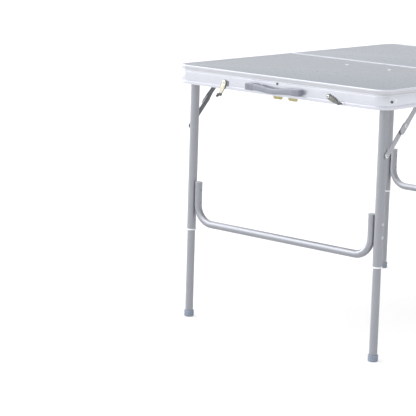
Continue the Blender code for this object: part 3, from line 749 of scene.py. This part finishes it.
def brace(end, side, sx, sy):
    """Two links from leg to rim, their rivets, and those of the bracket in the rim."""
    tag = f"{end}_{side}"
    lower_body, upper_body = f"{tag}_brace_lower", f"{tag}_brace_upper"
    foot = (sx * BRACE_LEG[0], BRACE_LEG[1])
    head = (sx * BRACE_RIM[0], BRACE_RIM[1])
    span = math.dist(foot, head)
    way = tuple((b - a) / span for a, b in zip(foot, head))
    knee = tuple(a + (b - a) * LOWER_LINK / span for a, b in zip(foot, head))
    link(f"link_lower_{tag}", link_outline(foot, knee, LINK_HALF_W, LINK_HALF_W), LINK_IN,
         0.4 * MM, way, sy, lower_body, f"brace_lower_{tag}")
    link(f"link_upper_{tag}",
         link_outline(head, knee, LINK_HALF_W, TAIL_HALF_W, LINK_TAIL, LINK_STEP), LINK_OUT,
         0.5 * MM, way, sy, upper_body, f"brace_upper_{tag}")
    out = (0.0, sy, 0.0)
    on_lower = sy * (LEG_Y + LINK_IN + LINK_T)
    on_upper = sy * (LEG_Y + LINK_OUT + LINK_T)
    pop_rivet(f"link_rivet_leg_{tag}", (foot[0], on_lower, foot[1]), out, LINK_RIVET_R,
              lower_body, shank=LINK_SHANK)
    pop_rivet(f"link_rivet_knee_{tag}", (knee[0], on_upper, knee[1]), out, LINK_RIVET_R,
              upper_body)
    bm = lathe(KNEE_WASHER, (knee[0], on_lower, knee[1]), out, 32)
    finish_piece(f"link_washer_{tag}", bm, STEEL, lower_body)
    for n, (dx, dz) in enumerate(BRACKET_RIVETS):
        at = (head[0] + dx, sy * (HALF_W - WALL - BRACKET_T), head[1] + dz)
        dome_rivet(f"bracket_rivet_{tag}_{n}", at, (0.0, -sy, 0.0), BRACKET_RIVET_R,
                   f"{end}_half", height=BRACKET_RIVET_HEIGHT)


# ---- handle -----------------------------------------------------------------------------
GRIP_STEPS = 26
GRIP_TOP, GRIP_BOTTOM = HANDLE_Z + 0.0082, HANDLE_Z - 0.0080      # at its ends
GRIP_TOP_SAG, GRIP_BOTTOM_SAG, SAG_POWER = 0.0062, 0.0040, 2.2
GRIP_FRONT, GRIP_BACK, GRIP_SWELL = HANDLE_X - 0.0062, HANDLE_X + 0.0048, 0.0010
GRIP_SOFT, BLOCK_SOFT = 0.0042, 0.0036
GRIP_PIN = [(0.0, -0.0020), (0.0024, -0.0020), (0.0024, 0.0070), (0.0, 0.0070)]
BLOCK_TOP, BLOCK_BOTTOM = LOW + 0.0270, LOW + 0.0088
BLOCK_FRONT, BLOCK_LEAD = HANDLE_X - 0.0070, 0.0006
BLOCK_FLAT = 0.0205           # along the block to where its end starts to round off
PULL_POWER, PULL_UP, PULL_IN = 2.2, 0.0050, 0.0085
GROOVE_FROM, GROOVE_PITCH, GROOVE_DEPTH = 0.0045, 0.0021, 0.0007


def grip_ring(y, top, bottom, front, back, soft):
    """A soft-cornered cross-section of the handle at one place along it."""
    outline = rounded([(front, bottom, soft), (back, bottom, soft * 0.7), (back, top, soft * 0.7),
                       (front, top, soft)], steps=4)
    return [(x, y, z) for x, z in outline]


def handle():
    """The grip, sagging and a little fuller in its middle, on a pin at each end."""
    end = HANDLE_Y - GAP
    rings = []
    for i in range(GRIP_STEPS + 1):
        t = -1.0 + 2.0 * i / GRIP_STEPS
        middle = math.cos(t * math.pi / 2)
        sag = max(0.0, middle) ** SAG_POWER
        rings.append(grip_ring(t * end, GRIP_TOP - GRIP_TOP_SAG * sag,
                               GRIP_BOTTOM - GRIP_BOTTOM_SAG * sag,
                               GRIP_FRONT - GRIP_SWELL * middle, GRIP_BACK, GRIP_SOFT))
    finish_piece("grip_bar", skin(rings), GRIP, "handle", ["handle_grip"])
    for side, sy in SIDES:
        pin = lathe(GRIP_PIN, (HANDLE_X, sy * HANDLE_Y, HANDLE_Z), (0.0, sy, 0.0), 24)
        finish_piece(f"grip_trunnion_{side}", pin, STEEL, "handle")
        handle_mount(side, sy)


def handle_mount(side, sy):
    """End block: ribbed across its face, its outer end rounded in plan and in height."""
    back = -HALF_L + FACE_INSET - GAP
    stations = [0.0, 0.0006] + [0.0006 + 0.0210 * i / 24 for i in range(1, 25)]
    stations += [0.0226, 0.0238, 0.0250, 0.0260, 0.0267, HANDLE_MOUNT]
    rings = []
    for d in stations:
        over = max(0.0, (d - BLOCK_FLAT) / (HANDLE_MOUNT - BLOCK_FLAT))
        pull = 1.0 - math.sqrt(max(0.0, 1.0 - over ** PULL_POWER))
        lead = BLOCK_LEAD if d == 0.0 else 0.0
        grooved = GROOVE_FROM < d < BLOCK_FLAT and int(d / GROOVE_PITCH) % 2
        top = BLOCK_TOP - PULL_UP * pull - lead
        bottom = BLOCK_BOTTOM + PULL_UP * pull + lead
        face = BLOCK_FRONT + PULL_IN * pull + lead + (GROOVE_DEPTH if grooved else 0.0)
        rings.append(grip_ring(sy * (HANDLE_Y + d), top, bottom, face, back, BLOCK_SOFT))
    finish_piece(f"grip_block_{side}", skin(rings), GRIP, "near_half",
                 [f"handle_mount_{side}"], RIB_SHARP)


# ---- latches, keepers and guide tabs ------------------------------------------------------
# Outlines about the rivet with the latch hanging down: outward, up, rounding.
LATCH_BODY = [
    (0.0, 0.0066, 0.0030), (0.0056, 0.0040, 0.0030), (0.0070, -0.0020, 0.0030),
    (0.0072, -0.0170, 0.0050), (0.0050, -0.0268, 0.0040), (0.0022, -0.0308, 0.0020),
    (0.0020, -0.0326, 0.0), (-0.0030, -0.0326, 0.0), (-0.0028, -0.0308, 0.0020),
    (-0.0052, -0.0262, 0.0040), (-0.0070, -0.0170, 0.0050), (-0.0070, -0.0020, 0.0030),
    (-0.0056, 0.0040, 0.0030),
]
LATCH_TIP = [
    (0.0022, -0.0312, 0.0), (0.0024, -0.0350, 0.0010), (0.0066, -0.0358, 0.0016),
    (0.0068, -0.0424, 0.0020), (0.0032, -0.0450, 0.0012), (0.0010, -0.0420, 0.0010),
    (0.0026, -0.0396, 0.0008), (-0.0026, -0.0396, 0.0010), (-0.0042, -0.0350, 0.0012),
    (-0.0030, -0.0312, 0.0),
]
LATCH_SWELL = [(0.0040, -0.0070), (0.0046, -0.0170), (0.0026, -0.0240), (-0.0026, -0.0240),
               (-0.0046, -0.0170), (-0.0040, -0.0070)]
LATCH_STYLES = {               # tone with its painted reflection, width of its body, width of its tip
    "left": (LATCH_PAINTED_BRIGHT, 1.0, 1.45),
    "right": (LATCH_PAINTED_DARK, 0.84, 0.95),
}
LATCH_OUT = 0.0019            # from the rim to the latch's middle plane
SWELL_SOFT = 0.0030
BACKING_WIDER, BACKING_LONGER = 1.14, 1.06
KNOB_R, KNOB_GROWTH, WIRE_R = 0.0024, 0.4 / 1.45, 0.0009
HOOK_RIVET_OUT, HOOK_RIVET_R, HOOK_SHANK = 0.0030, 0.0040, 0.0070


def latch_knob(barb, sy):
    """The round button pressed out of the tip."""
    radius = KNOB_R * (1.0 + KNOB_GROWTH * barb)
    profile = arc(0.0, 0.0, radius, -90, 90, 10)
    return lathe(profile, (-0.0014, sy * barb * 0.0052, -0.0438), steps=20)


def latch_loop(sy):
    """The small wire ring at the right-hand latch's tip."""
    wire = [(0.0044 + u, v) for u, v in circle(WIRE_R, 10)]
    return lathe(wire, (-0.0008, sy * 0.0040, -0.0480), (1.0, 0.0, 0.0), 28, closed=True)


def latch(side, sy):
    """A stamped hook on a rivet: raised middle, narrow neck, barbed tip with a round knob."""
    # mat is the latch's tone, with a painted reflection in it.
    mat, slim, barb = LATCH_STYLES[side]
    body = rounded([(sy * slim * u, v, r) for u, v, r in LATCH_BODY])
    tip = rounded([(sy * barb * u, v, r) for u, v, r in LATCH_TIP])
    swell = rounded([(sy * slim * u, v, SWELL_SOFT) for u, v in LATCH_SWELL], steps=5)
    backing = rounded([(sy * slim * u * BACKING_WIDER, v * BACKING_LONGER, r)
                       for u, v, r in LATCH_BODY[:6] + LATCH_BODY[8:]])
    # The backing, tip and knob take the second material, dark: painted shade round and under the
    # latch.
    bm = joined(slab(body, -0.0009, 0.0007, "YZ", 0.35 * MM),
                (slab(swell, -0.0014, -0.0004, "YZ", 0.5 * MM), 0),
                (slab(backing, -0.0003, 0.0009, "YZ", 0.2 * MM), 1),
                (slab(tip, -0.0012, 0.0009, "YZ", 0.35 * MM), 1),
                (latch_knob(barb, sy), 1))
    if side == "right":
        bm = joined(bm, (latch_loop(sy), 2))
    swing = Matrix.Rotation(math.radians(sy * LATCH_REST[side]), 4, 'X')
    at = Matrix.Translation((-HALF_L - LATCH_OUT, sy * LATCH_Y, LATCH_Z))
    bmesh.ops.transform(bm, matrix=at @ swing, verts=bm.verts)
    finish_piece(f"hook_{side}", bm, [mat, LATCH_EDGE, RIVET], f"{side}_latch",
                 [f"latch_{side}"])
    pop_rivet(f"hook_rivet_{side}", (-HALF_L - HOOK_RIVET_OUT, sy * LATCH_Y, LATCH_Z),
              (-1.0, 0.0, 0.0), HOOK_RIVET_R, "near_half", RIVET, [f"latch_rivet_{side}"],
              HOOK_SHANK)


def keeper(side, sy):
    """The turned stud on the far end that a latch hooks over when the case is shut."""
    profile = rounded([(0.0, -0.0046, 0.0), (0.0040, -0.0046, 0.0004), (0.0040, -0.0033, 0.0),
                       (0.0023, -0.0033, 0.0), (0.0023, 0.0044, 0.0005), (0.0042, 0.0050, 0.0004),
                       (0.0042, 0.0062, 0.0006), (0.0030, 0.0072, 0.0004), (0.0, 0.0072, 0.0)],
                      closed=False)
    bm = lathe(profile, (HALF_L, sy * LATCH_Y, LATCH_Z), (1.0, 0.0, 0.0), 32)
    finish_piece(f"latch_stud_{side}", bm, STEEL, "far_half", [f"keeper_{side}"])


def guide_tab(side, middle):
    """A brass clip hooked on the rim's bottom lip, its tongue hanging below the rim."""
    half_w, corner, ease = 0.0150, 0.0050, 0.5 * MM
    top, seat, hang = LOW + 0.0034, LOW + 0.0019, LOW - 0.0085
    tongue_out, tongue_in = -0.4917, -0.4899
    hook_out, hook_in = -0.4967, -0.4912
    outline = rounded([(middle - half_w, top, 0.0), (middle - half_w, hang, corner),
                       (middle + half_w, hang, corner), (middle + half_w, top, 0.0)], steps=6)
    tongue = slab(outline, tongue_out, tongue_in, "YZ", 0.3 * MM)
    section = rounded([(hook_out, top, 0.0004), (hook_out, seat, 0.0004),
                       (hook_in, seat, 0.0002), (hook_in, top, 0.0004)], steps=3)
    hook = skin([[(x, middle + y, z) for x, z in section] for y in (ease - half_w, half_w - ease)])
    finish_piece(f"lip_clip_{side}", joined(tongue, (hook, 0)), BRASS, "near_half",
                 [f"guide_tab_{side}"])


RIM_RIVETS = ((-0.005, 0.6825, LATCH_EDGE), (0.049, 0.6737, STEEL))     # across, height, flange
RIM_RIVET_R = 0.0034
BOARD_RIVETS = ((-0.106, 0.068), (-0.1085, -0.077))
BOARD_RIVET_R, BOARD_RIVET_HEIGHT = 0.0050, 0.0010
# A thin dark oval on the rim beside the left latch: painted shadow of the latch.
LATCH_SHADOW_Y, LATCH_SHADOW_Z, LATCH_SHADOW_HALF_W, LATCH_SHADOW_HALF_H = 0.163, 0.6655, 0.0040, 0.0080
LATCH_SHADOW_T = 0.0008
CLEAR = 0.0001


def trim():
    """Small hardware that the frame's own pieces don't carry, and a thin dark oval beside the left
    latch: painted shadow of the latch.
    """
    face = -HALF_L + FACE_INSET - CLEAR
    for n, (y, z, flange) in enumerate(RIM_RIVETS):
        pop_rivet(f"rim_rivet_{n}", (face, y, z), (-1.0, 0.0, 0.0), RIM_RIVET_R, "near_half",
                  flange)
    for n, (x, y) in enumerate(BOARD_RIVETS):
        dome_rivet(f"board_rivet_{n}", (x, y, BOARD_TOP - CLEAR), (0.0, 0.0, 1.0), BOARD_RIVET_R,
                   "near_half", WHITE_CAP, height=BOARD_RIVET_HEIGHT)
    # The dark oval beside the left latch: painted shadow.
    oval = [(LATCH_SHADOW_Y + LATCH_SHADOW_HALF_W * c, LATCH_SHADOW_Z + LATCH_SHADOW_HALF_H * s) for c, s in circle(1.0, 40)]
    finish_piece("latch_painted_shadow", slab(oval, face - LATCH_SHADOW_T, face, "YZ", 0.3 * MM), LATCH_SHADOW_TONE, "near_half")


# ---- CAD nodes that stay ------------------------------------------------------------------
EASE_WIDTH, EASE_ANGLE = 0.25 * MM, 40.0


def dress_cad_nodes():
    """The pressed steel parts keep their CAD shape, with their edges eased."""
    for node in frame["nodes"].values():
        if node.hide_render:
            continue
        node.data.materials.clear()
        node.data.materials.append(STEEL)
        ease = node.modifiers.new("Eased", 'BEVEL')
        ease.width = EASE_WIDTH
        ease.segments = 2
        ease.limit_method = 'ANGLE'
        ease.angle_limit = math.radians(EASE_ANGLE)


# ---- stage, lights and camera -------------------------------------------------------------
FLOOR_HALF = 40.0
FLOOR_TONE = (0.63, 0.63, 0.63)
SKY_RISE = (-0.18, 0.21, 0.42)            # the way in which the studio gets brighter
SKY_DARK, SKY_BRIGHT = (0.36, 0.365, 0.375, 1.0), (1.26, 1.26, 1.27, 1.0)


def stage():
    """A plain pale floor."""
    bm = bmesh.new()
    bmesh.ops.create_grid(bm, x_segments=1, y_segments=1, size=FLOOR_HALF)
    mesh = bpy.data.meshes.new("floor")
    bm.to_mesh(mesh)
    bm.free()
    floor = bpy.data.objects.new("floor", mesh)
    bpy.context.scene.collection.objects.link(floor)
    look = Look("floor_paper", FLOOR_TONE, 0.9)
    look.set("Specular IOR Level", 0.0)
    mesh.materials.append(look.mat)


def world():
    """Soft light from all round, its tone running from dark to bright across the studio."""
    made = bpy.data.worlds.new("studio")
    bpy.context.scene.world = made
    made.use_nodes = True
    tree = made.node_tree
    back = tree.nodes["Background"]
    back.inputs["Strength"].default_value = 1.0
    coords = tree.nodes.new("ShaderNodeTexCoord")
    side = tree.nodes.new("ShaderNodeVectorMath")
    side.operation = 'DOT_PRODUCT'
    side.inputs[1].default_value = SKY_RISE
    shift = tree.nodes.new("ShaderNodeMath")
    shift.inputs[1].default_value = 0.5
    ramp = tree.nodes.new("ShaderNodeValToRGB")
    ramp.color_ramp.elements[0].color = SKY_DARK
    ramp.color_ramp.elements[1].color = SKY_BRIGHT
    tree.links.new(coords.outputs["Generated"], side.inputs[0])
    tree.links.new(side.outputs["Value"], shift.inputs[0])
    tree.links.new(shift.outputs["Value"], ramp.inputs["Fac"])
    tree.links.new(ramp.outputs["Color"], back.inputs["Color"])


def soft_sun(name, source, spread, strength, shadow=True):
    """A broad softbox, far away: even over the whole floor. Spread in degrees across."""
    data = bpy.data.lights.new(name, 'SUN')
    data.angle = math.radians(spread)
    data.energy = strength
    data.use_shadow = shadow
    obj = bpy.data.objects.new(name, data)
    bpy.context.scene.collection.objects.link(obj)
    obj.rotation_euler = Vector(source).to_track_quat('Z', 'Y').to_euler()


def lights():
    """A big softbox behind the table's left, one above, one from the left, a weak fill."""
    soft_sun("key", (-0.55, 0.35, 0.72), 66.0, 2.3, shadow=False)
    soft_sun("top", (0.35, 0.15, 0.93), 60.0, 0.8, shadow=False)
    soft_sun("side", (-0.10, 0.99, 0.16), 40.0, 1.7)
    soft_sun("fill", (0.45, -0.85, 0.25), 60.0, 0.30)


def camera():
    """A long lens a little above the table, looking at its handle end and right side."""
    yaw, pitch, roll = (math.radians(a) for a in (CAMERA_YAW, CAMERA_PITCH, CAMERA_ROLL))
    ahead = Vector((-math.sin(yaw) * math.cos(pitch), math.cos(yaw) * math.cos(pitch),
                    -math.sin(pitch)))
    right = Vector((math.cos(yaw), math.sin(yaw), 0.0))
    up = right.cross(ahead)
    turned_right = right * math.cos(roll) + up * math.sin(roll)
    turned_up = up * math.cos(roll) - right * math.sin(roll)
    data = bpy.data.cameras.new("camera")
    data.sensor_width = SENSOR
    data.lens = CAMERA_LENS
    data.shift_x, data.shift_y = CAMERA_SHIFT
    data.clip_end = CAMERA_REACH
    obj = bpy.data.objects.new("camera", data)
    bpy.context.scene.collection.objects.link(obj)
    basis = Matrix((turned_right, turned_up, -ahead)).transposed()
    obj.matrix_world = Matrix.Translation(CAMERA_AT) @ basis.to_4x4()
    bpy.context.scene.camera = obj


for end, sx in HALVES:
    rim(end, sx)
    board(end, sx)
    seam_rail(end, sx)
    crossbar(end, sx)
    for side, sy in SIDES:
        leg(end, side, sx, sy)
        brace(end, side, sx, sy)
handle()
for side, sy in SIDES:
    latch(side, sy)
    keeper(side, sy)
for side, middle in TAB_MIDDLES:
    guide_tab(side, middle)
trim()
dress_cad_nodes()
stage()
world()
lights()
camera()
bpy.context.scene.view_settings.view_transform = 'Standard'
